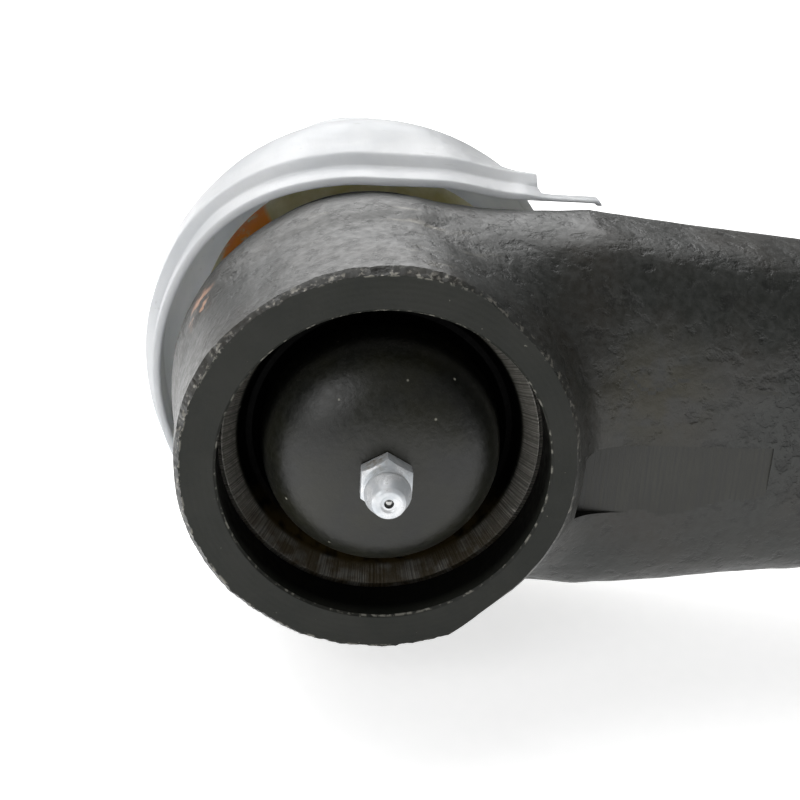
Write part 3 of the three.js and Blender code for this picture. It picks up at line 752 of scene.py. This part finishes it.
def makeCover():
    v = cover
    topLine = [p for p in domeLine(v["dome"], v["domeY"], v["topY"], v["square"], 28) if p[0] > v["hole"]]
    inLine = [p for p in domeLine(v["dome"] - v["thick"] - 0.3, v["domeY"], v["topY"] + v["thick"],
                                  v["square"], 20)
              if p[0] > v["hole"]]
    profile = [
        (v["hole"], v["topY"] + 0.02), *reversed(topLine),
        (v["dome"] + 0.15, v["domeY"] + 1.4), (v["dome"] + 0.7, v["valleyY"] - 1.1),
        (v["dome"] + 1.6, v["valleyY"] - 0.1),
        (v["dome"] + 2.5, v["valleyY"]), (v["innerRim"] - 0.6, v["valleyY"] - 0.5),
        (v["innerRim"] - 0.1, v["innerRimY"] + 0.4),
        (v["innerRim"] + 0.1, v["innerRimY"]), (v["rim"] - 0.9, v["rimY"] + 1.0),
        (v["rim"] - 0.15, v["rimY"] + 0.12),
        (v["rim"], v["rimY"] + 0.1), (v["rim"] + 0.05, v["rimY"] + 0.5), (v["undercut"], v["rimY"] + 1.1),
        (v["undercut"], v["seatY"]),
        (23.4, v["seatY"]), (22.2, v["backY"]), (18.2, v["backY"]),
        (v["dome"] - v["thick"] + 0.3, v["domeY"] + 2.6),
        *inLine, (v["hole"], v["topY"] + v["thick"])]

    def scored(r, y, angle):
        if r < v["innerRim"] - 0.7 or y > v["innerRimY"] + 0.5 or r > v["rim"] + 0.1:
            return r, y
        spot = Vector((math.cos(angle), math.sin(angle), 0))
        stroke = noise.noise(spot * 34) + 0.7 * noise.noise(spot * 75)
        return r + 0.35 * v["scoring"] * stroke, y + v["scoring"] * (stroke + 0.6)
    piece = turned("closureCover", profile, 720, scored)
    return finishPiece(piece, "socket", coverBlack, ("closure_cover",), 40)


fitting = {"flats": 7.14, "hexTop": -33.5, "base": -30.7, "neck": 2.6, "head": 3.3, "tip": 2.35,
           "tipY": -38.8,
           "port": 0.68, "bore": 1.35, "thread": 3.175, "threadEnd": -25.9, "ball": 1.05}


def makeFitting():
    v = fitting
    corner = v["flats"] / math.sqrt(3)
    hexPart = hexagon("fittingBody", v["flats"], v["hexTop"], v["base"])
    combine(hexPart, turned("crown", [
        (0, v["hexTop"] - 0.01), (v["flats"] / 2 - 0.25, v["hexTop"] - 0.01),
        (corner + 0.1, v["hexTop"] + 0.62),
        (corner + 0.1, v["base"] + 0.01), (0, v["base"] + 0.01)], 96), "INTERSECT")
    barrel = turned("barrel", eased([
        (0, v["threadEnd"]), (v["thread"] - 0.5, v["threadEnd"]), (v["thread"], v["threadEnd"] - 0.5),
        (v["thread"], v["base"] - 0.4),
        (v["neck"] + 0.3, v["hexTop"] + 0.3), (v["neck"] + 0.25, v["hexTop"] - 0.35),
        (v["neck"], v["hexTop"] - 0.75),
        (v["head"], v["hexTop"] - 1.75), (v["head"], v["hexTop"] - 2.35), (v["tip"], v["tipY"] + 0.35),
        (v["tip"] - 0.45, v["tipY"]),
        (1.25, v["tipY"]), (1.0, v["tipY"] + 0.22), (0, v["tipY"] + 0.22)], 0.16), 96)
    combine(hexPart, barrel, "UNION")
    combine(hexPart, turned("port", [
        (0, v["tipY"] - 1), (v["port"], v["tipY"] - 1), (v["port"], v["tipY"] + 0.35),
        (v["bore"], v["tipY"] + 1),
        (v["bore"], v["threadEnd"] - 1.2), (v["bore"] - 0.5, v["threadEnd"] - 1.2),
        (v["bore"] - 0.5, v["threadEnd"] + 1),
        (0, v["threadEnd"] + 1)], 48))
    softEdges(hexPart, 0.07, 30)
    finishPiece(hexPart, "socket", zinc, ("fitting_body",), 30)

    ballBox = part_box("fitting_check_ball")
    middle = (ballBox[0][1] + ballBox[1][1]) / 2 / mm
    ball = turned("fittingCheckBall", [(0, middle - v["ball"]), *arcPoints(0, middle, v["ball"], -84, 84, 24),
                                       (0, middle + v["ball"])], 48)
    finishPiece(ball, "check_ball", ballSteel, ("fitting_check_ball",), 60)


def coilPath(fromRadius, toRadius, fromY, toY, turns, perTurn=48):
    count = int(turns * perTurn)
    path = []
    for i in range(count + 1):
        t = i / count
        r = fromRadius + (toRadius - fromRadius) * t
        turn = t * turns * fullTurn
        path.append((r * math.cos(turn), fromY + (toY - fromY) * t, r * math.sin(turn)))
    return path


springs = {"preload": {"wire": 2.6, "to": 5.4, "turns": 1.9},
           "check": {"wire": 0.3, "radius": 0.93, "turns": 4},
           "give": 0.85}


def makeSprings():
    v = springs["preload"]
    low, high = (corner[1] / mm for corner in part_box("preload_spring"))
    outer = max(-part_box("preload_spring")[0][0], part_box("preload_spring")[1][0]) / mm - v["wire"] / 2
    piece = tube("preloadSpring", coilPath(outer, v["to"], high - v["wire"] / 2, low + v["wire"] / 2,
                                           v["turns"]),
                 v["wire"] / 2 - 0.02, 20)
    finishPiece(piece, "socket", wire, ("preload_spring",), 60)
    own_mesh(piece)
    v = springs["check"]
    low, high = (corner[1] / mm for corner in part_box("fitting_spring"))
    piece = tube("fittingSpring", coilPath(v["radius"], v["radius"], low + v["wire"] / 2,
                                           high - v["wire"] / 2, v["turns"]),
                 v["wire"] / 2 - 0.01, 12)
    finishPiece(piece, "socket", wire, ("fitting_spring",), 60)
    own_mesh(piece)


makeCover()
makeFitting()
makeSprings()
print("closure made")


bearing = {"ball": 19.35, "outer": 23.4, "lip": 33, "foot": 35, "split": 0.15}


def makeBearing():
    v = bearing
    first = math.degrees(math.asin(v["split"] / v["ball"]))
    studSide = turned("bearingStudSide", eased([
        *arcPoints(0, 0, v["ball"], first, v["lip"], 24), (17.5, 14.67), (18.28, 14.67), (v["outer"], 9.55),
        (v["outer"], v["split"])], 0.25), 160)
    finishPiece(studSide, "socket", bearingSteel, ("bearing_stud_side",))
    foot = v["ball"] * math.sin(math.radians(v["foot"]))
    coverSide = turned("bearingCoverSide", eased([
        *arcPoints(0, 0, v["ball"], -first, -v["foot"], 24), (v["outer"], -foot),
        (v["outer"], -v["split"])], 0.25), 160)
    finishPiece(coverSide, "socket", bearingSteel, ("bearing_cover_side",))
    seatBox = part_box("pressure_seat")
    reach, back = seatBox[1][0] / mm, seatBox[0][1] / mm
    inner, outer = math.asin(2.6 / v["ball"]), math.asin((reach - 0.9) / v["ball"])
    inside = []
    for i in range(21):
        lean = inner + (outer - inner) * i / 20
        inside.append((v["ball"] * math.sin(lean), -v["ball"] * math.cos(lean)))
    seat = turned("pressureSeat", eased([
        *inside, (reach, -v["ball"] * math.cos(outer) - 0.6), (reach, back + 1), (reach - 1, back),
        (2.6, back)], 0.2), 128)
    finishPiece(seat, "seat", bearingSteel, ("pressure_seat",))


makeBearing()
print("bearing made")


stud = {"ball": 19.05, "neck": 10.6, "neckEnd": 29, "taperY": 34, "taper": 15.9, "taperEnd": 72,
        "taperSmall": 13.525,
        "thread": 12.7, "pitch": 1.814, "end": 99, "cotterY": 90.1, "cotter": 1.9}


def makeStud():
    v = stud
    neckAngle = math.degrees(math.asin(v["neck"] / v["ball"]))
    body = turned("ballStud", [
        (0, -v["ball"]), *arcPoints(0, 0, v["ball"], -88, 90 - neckAngle, 64), (v["neck"] + 0.05, 19.5),
        *arcPoints(v["neck"] + 2.2, v["neckEnd"] - 0.5, 2.2, 180, 128, 8),
        (v["taper"] - 0.9, v["taperY"] - 0.9),
        *arcPoints(v["taper"] - 0.6, v["taperY"], 0.6, -40, 0, 4), (v["taperSmall"], v["taperEnd"] - 0.5),
        (v["taperSmall"] - 0.5, v["taperEnd"]), (0, v["taperEnd"])], 160)
    rod = threaded("rod", v["thread"], v["pitch"], v["taperEnd"] - 0.2, v["end"], 1.6,
                   lambda place, p, q: (p, place, q))
    combine(body, rod, "UNION")
    hole = tube("hole", [(0, v["cotterY"], -20), (0, v["cotterY"], 20)], v["cotter"] + 0.3, 32)
    combine(body, hole)
    finishPiece(body, "stud", studSteel, ("ball_stud",), 35)


nut = {"flats": 36.5, "seat": 74.5, "castle": 87, "top": 93, "castleRadius": 16.6, "slot": 5, "bore": 13.0}


def makeNut():
    v = nut
    corner = v["flats"] / math.sqrt(3)
    drop = (corner - v["flats"] / 2) * 0.6
    piece = hexagon("castleNut", v["flats"], v["seat"], v["castle"])
    combine(piece, turned("crown", [
        (0, v["seat"] - 0.01), (v["flats"] / 2 - 0.8, v["seat"] - 0.01), (corner + 0.2, v["seat"] + drop),
        (corner + 0.2, v["castle"] - drop), (v["flats"] / 2 - 0.8, v["castle"] + 0.01),
        (0, v["castle"] + 0.01)], 160), "INTERSECT")
    combine(piece, turned("castle", [
        (0, v["castle"] - 1), (v["castleRadius"], v["castle"] - 1), (v["castleRadius"], v["top"] - 0.9),
        (v["castleRadius"] - 0.9, v["top"]), (0, v["top"])], 128), "UNION")
    combine(piece, turned("bore", [
        (0, v["seat"] - 1), (v["bore"] + 1.6, v["seat"] - 1), (v["bore"], v["seat"] + 1.1),
        (v["bore"], v["top"] - 0.9),
        (v["bore"] + 1.2, v["top"] + 1), (0, v["top"] + 1)], 96))
    middle = (v["bore"] + v["castleRadius"]) / 2
    for k in range(3):
        slot = box("slot", (-v["slot"] / 2, stud["cotterY"] - v["slot"] / 2, -middle - 8),
                   (v["slot"] / 2, v["top"] + 1, middle + 8))
        slot.data.transform(Matrix.Rotation(fullTurn * k / 6, 4, "Y"))
        combine(piece, slot)
    softEdges(piece, 0.18, 30)
    finishPiece(piece, "stud", zinc, ("castle_nut",), 30)


def makeCotter():
    y, r, reach = stud["cotterY"], stud["cotter"], nut["castleRadius"] + 0.6
    half = r * 0.5
    piece = None
    for side in (-1, 1):
        # each leg runs from the eye through the hole and bends away
        path = [(side * half, y, reach - 1.5 + 0.5 * k) for k in range(4)]
        path += [(side * (half + (r * 0.9) * math.sin(math.pi * k / 16)), y, reach + 0.5 + 3.6 * k / 16)
                 for k in range(1, 17)]
        path.reverse()
        path += [(side * half, y, -reach + (reach * 2 - 1.6) * (1 - k / 12)) for k in range(1, 13)]
        path += [(side * (half + 0.75 * k ** 1.2 / 2), y, -reach - 0.32 * k) for k in range(1, 6)]
        leg = tube("cotterPin" if side < 0 else "leg", path, half * 0.93, 16, 1.7)
        piece = leg if piece is None else combine(piece, leg, "UNION")
    finishPiece(piece, "stud", zinc, ("cotter_pin",), 50)


makeStud()
makeNut()
makeCotter()
print("stud made")


boot = {"base": 27.11, "baseIn": 25.11, "baseY": 17.97, "baseHigh": 4, "bulge": 29.4, "wall": 2,
        "bulgeY": 26.6,
        "collar": 17.98, "collarIn": 15.98, "collarY": 37.5, "collarHigh": 6, "lip": 0.35,
        "bite": 0.95}


def makeBoot():
    v = boot
    top = v["collarY"] + v["collarHigh"]
    lower = turned("bootLower", eased([
        (v["baseIn"], v["baseY"]), (v["base"] + v["lip"], v["baseY"]),
        (v["base"] + v["lip"], v["baseY"] + 0.6),
        (v["base"], v["baseY"] + 0.9), (v["base"], v["baseY"] + v["baseHigh"]),
        (v["bulge"] - 1.8, v["baseY"] + v["baseHigh"] + 0.5),
        (v["bulge"] - 0.5, 24.4), (v["bulge"], v["bulgeY"]), (v["bulge"] - v["wall"], v["bulgeY"]),
        (v["bulge"] - v["wall"] - 0.9, 24.4), (v["baseIn"], 22.5)], 0.9, 6), 192)
    upper = turned("bootUpper", eased([
        (v["bulge"], v["bulgeY"] + 0.02), (v["bulge"] - 1.2, 29.6), (v["collar"] + 5, v["collarY"] - 3.4),
        (v["collar"] + 0.6, v["collarY"] - 0.7), (v["collar"], v["collarY"]), (v["collar"], top - 0.6),
        (v["collar"] + v["lip"], top - 0.3),
        (v["collar"] + v["lip"], top), (v["collarIn"], top), (v["collarIn"], v["collarY"] - 1),
        (v["collarIn"] + 4.4, v["collarY"] - 5.2),
        (v["bulge"] - 3.2, 28.8), (v["bulge"] - v["wall"], v["bulgeY"] + 0.02)], 1.0, 6), 192)
    for piece, pair, start, end in ((lower, ("socket", "boot"), v["baseY"] + v["baseHigh"], v["bulgeY"]),
                                    (upper, ("boot", "collar"), v["bulgeY"] + 0.5, v["collarY"] - 1)):
        finishPiece(piece, None, urethane, ("dust_boot",), 60)
        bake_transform(piece)


def makeBands():
    for name, node, body in (("bootBaseBand", "boot_base_band", "socket"),
                             ("bootCollarBand", "boot_collar_band", "collar")):
        lowest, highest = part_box(node)
        outer, low, high = highest[0] / mm, lowest[1] / mm, highest[1] / mm
        if body == "socket":
            outer -= boot["bite"]
        # a garter of three touching turns of flat wire
        step = (high - low) / 3
        profile = [(outer - 0.95, low)]
        for k in range(3):
            profile += arcPoints(outer - 0.42, low + step * (k + 0.5), 0.4, -80, 80, 8)
        profile.append((outer - 0.95, high))
        finishPiece(turned(name, profile, 160), body, wire, (node,), 60)


makeBoot()
makeBands()
print("boot made")


cap = {"mouth": 35.7, "mouthY": 6, "mouthHigh": 6.4, "body": 37.5, "wall": 1.4, "crown": 23.3, "crownY": 66,
       "end": 100.7,
       "sleeve": 13.0, "sleeveDeep": 5, "notchTop": 36, "notchHalf": 30.5, "flapX": 35.5, "bodyEndX": 25,
       "tailHigh": 2.4, "thinning": 0.65,
       "flatTop": 32.15, "flapTop": 30.8, "left": -0.1, "corner": 1.15}


def mouthShift(angle):
    # how far the soft mouth is pushed from its round: pressed flat over the arm, sprung out beside it
    v = cap
    fold = abs(((angle + math.pi) % fullTurn) - math.pi)
    inner = v["mouth"] - v["wall"]
    if math.sin(angle) < 0:
        return v["left"] * max(-math.cos(angle), 0) ** 2
    if fold < math.radians(92):
        along = min(max((v["flatTop"] / math.tan(max(fold, 0.7)) - 8) / 14, 0), 1)
        line = v["flatTop"] + (v["flapTop"] - v["flatTop"]) * along * along * (3 - 2 * along)
        return line / max(math.sin(fold), 0.68) - inner
    share = (fold - math.radians(92)) / math.radians(88)
    top = v["flatTop"] - inner
    bulge = v["corner"] * math.exp(-((share - 0.5) / 0.24) ** 2)
    return top * (1 - share) ** 1.6 + bulge + v["left"] * share ** 2


def makeCap():
    v = cap
    bandTop = v["mouthY"] + v["mouthHigh"]

    def bell(offset):
        return [(v["body"] - offset, bandTop + 4.5), (v["body"] - offset, 22),
                (v["body"] - offset - 0.05, 28),
                (v["body"] - offset - 0.8, 33), (v["body"] - offset - 2, 38), (v["body"] - offset - 5.4, 48),
                (v["crown"] - offset + 3.6, v["crownY"] - 8), (v["crown"] - offset, v["crownY"])]
    outline = [
        (v["mouth"], v["mouthY"]), (v["mouth"] + 0.1, v["mouthY"] + v["mouthHigh"] * 0.5),
        (v["mouth"], bandTop),
        (v["body"], bandTop + 2.0), *bell(0), (v["crown"], v["end"] - 5), (v["crown"] - 2, v["end"] - 1.4),
        (v["crown"] - 5, v["end"]), (0, v["end"]), (0, v["end"] - v["wall"]),
        (v["sleeve"], v["end"] - v["wall"]),
        (v["sleeve"], 99 - v["sleeveDeep"]), (v["sleeve"] + v["wall"], 99 - v["sleeveDeep"]),
        (v["sleeve"] + v["wall"], v["end"] - v["wall"]), (v["crown"] - 5, v["end"] - v["wall"]),
        (v["crown"] - v["wall"], v["end"] - 5),
        *reversed(bell(v["wall"])), (v["body"] - v["wall"], bandTop + 2.0 + v["wall"] * 0.6),
        (v["mouth"] - v["wall"], bandTop + v["wall"]), (v["mouth"] - v["wall"], v["mouthY"])]
    outline = eased(outline, 0.5, 3)
    long = [outline[0]]
    for spot in outline[1:]:
        # long stretches get points of their own, so that the wall can bend
        gone = math.dist(long[-1], spot)
        cuts = max(1, int(gone / 3))
        start = long[-1]
        long += [(start[0] + (spot[0] - start[0]) * k / cuts, start[1] + (spot[1] - start[1]) * k / cuts)
                 for k in range(1, cuts + 1)]

    def pressed(r, y, angle):
        ease = min(max((y - bandTop) / 15, 0), 1)
        hold = 1 - ease * ease * (3 - 2 * ease)
        wave = 0.12 * noise.noise(Vector((math.cos(angle) * 3, math.sin(angle) * 3, y / 14)))
        if r > v["mouth"] - v["wall"] / 2 and math.sin(angle) != 0 and y < bandTop:
            # the tail is moulded thinner
            beyond = v["flatTop"] / abs(math.tan(angle)) if math.cos(angle) > 0 else 0
            r -= v["thinning"] * min(max((beyond - 22) / 5, 0), 1)
        return r + mouthShift(angle) * hold + (wave if y < 90 else 0), y
    piece = turned("transitCap", long, 320, pressed)
    combine(piece, box("notch", (4, v["mouthY"] - 4, -v["notchHalf"]), (60, v["notchTop"], v["notchHalf"])))
    combine(piece, box("bodyEnd", (v["bodyEndX"], v["mouthY"] + v["tailHigh"], -60),
                       (60, v["notchTop"] + 1, 60)))
    combine(piece, box("flapEnd", (v["flapX"], v["mouthY"] - 4, -60), (70, bandTop + 3, 60)))
    softEdges(piece, 0.15, 50)
    finishPiece(piece, "cap", polythene, ("transit_cap",), 40)


makeCap()
print("cap made")


studio = {"floorDrop": 0.2, "floorSize": 3.0, "glow": 0.7, "sky": 0.16, "overhead": 6.0, "overheadSize": 0.8,
          "overheadPlace": (-0.14, 0.38, 0.45), "front": 1.8, "frontSize": 0.5,
          "frontPlace": (-0.5, -0.5, 0.35)}
lens = {"distance": 208, "azimuth": -5.26, "elevation": 22.88, "roll": 3.78,
        "target": (1.52, -28, 10.89), "focal": 67.28}


def addStudio():
    v = studio
    # a light table of milk glass: plain, matt and almost white, lit a little from below
    material, tree, place = newMaterial("lightTable")
    color = layered(tree, "#fbfbfb", [(speckle(tree, place, 2, 3, 0.3, 0.7), "#f8f8f8")])
    surfaced(material, tree, {"Base Color": color, "Roughness": 0.9, "Specular IOR Level": 0.1,
                              "Emission Color": color, "Emission Strength": v["glow"]})
    half = v["floorSize"] / 2 / mm
    low = cadBox[0][2] / mm - v["floorDrop"]
    corners = [(-half, -half, low), (half, -half, low), (half, half, low), (-half, half, low)]
    floor = newPiece("floor", corners, [(0, 1, 2, 3)])
    floor.data.materials.append(material)
    for name, power, size, spot in (("overhead", v["overhead"], v["overheadSize"], v["overheadPlace"]),
                                    ("front", v["front"], v["frontSize"], v["frontPlace"])):
        light = bpy.data.lights.new(name, "AREA")
        light.energy = power
        light.size = size
        lamp = bpy.data.objects.new(name, light)
        lamp.location = spot
        lamp.rotation_euler = (-Vector(spot)).to_track_quat("-Z", "Y").to_euler()
        bpy.context.scene.collection.objects.link(lamp)
    world = bpy.data.worlds.new("whiteRoom")
    bpy.context.scene.world = world
    world.use_nodes = True
    tree = world.node_tree
    tree.nodes.clear()
    seen = addNode(tree, "LightPath", out="Is Camera Ray")
    strength = addNode(tree, "MapRange", [seen, 0.0, 1.0, v["sky"], 1.0])
    sky = addNode(tree, "Background", {"Color": "#ffffff", "Strength": strength})
    addNode(tree, "OutputWorld", {"Surface": sky})
    bpy.context.scene.view_settings.view_transform = "Standard"


def addCamera():
    a, e, r = (math.radians(lens[k]) for k in ("azimuth", "elevation", "roll"))
    back = Vector((math.sin(a) * math.cos(e), -math.cos(a) * math.cos(e), math.sin(e)))
    right = Vector((0, 0, 1)).cross(back).normalized()
    up = back.cross(right)
    right, up = right * math.cos(r) + up * math.sin(r), up * math.cos(r) - right * math.sin(r)
    data = bpy.data.cameras.new("camera")
    data.lens = lens["focal"]
    data.sensor_width = 36
    data.clip_start = 0.01
    camera = bpy.data.objects.new("camera", data)
    bpy.context.scene.collection.objects.link(camera)
    turn = Matrix((right, up, back)).transposed().to_4x4()
    turn.translation = (Vector(lens["target"]) + back * lens["distance"]) * mm
    camera.matrix_world = turn
    bpy.context.scene.camera = camera


addStudio()
addCamera()
print("studio made")
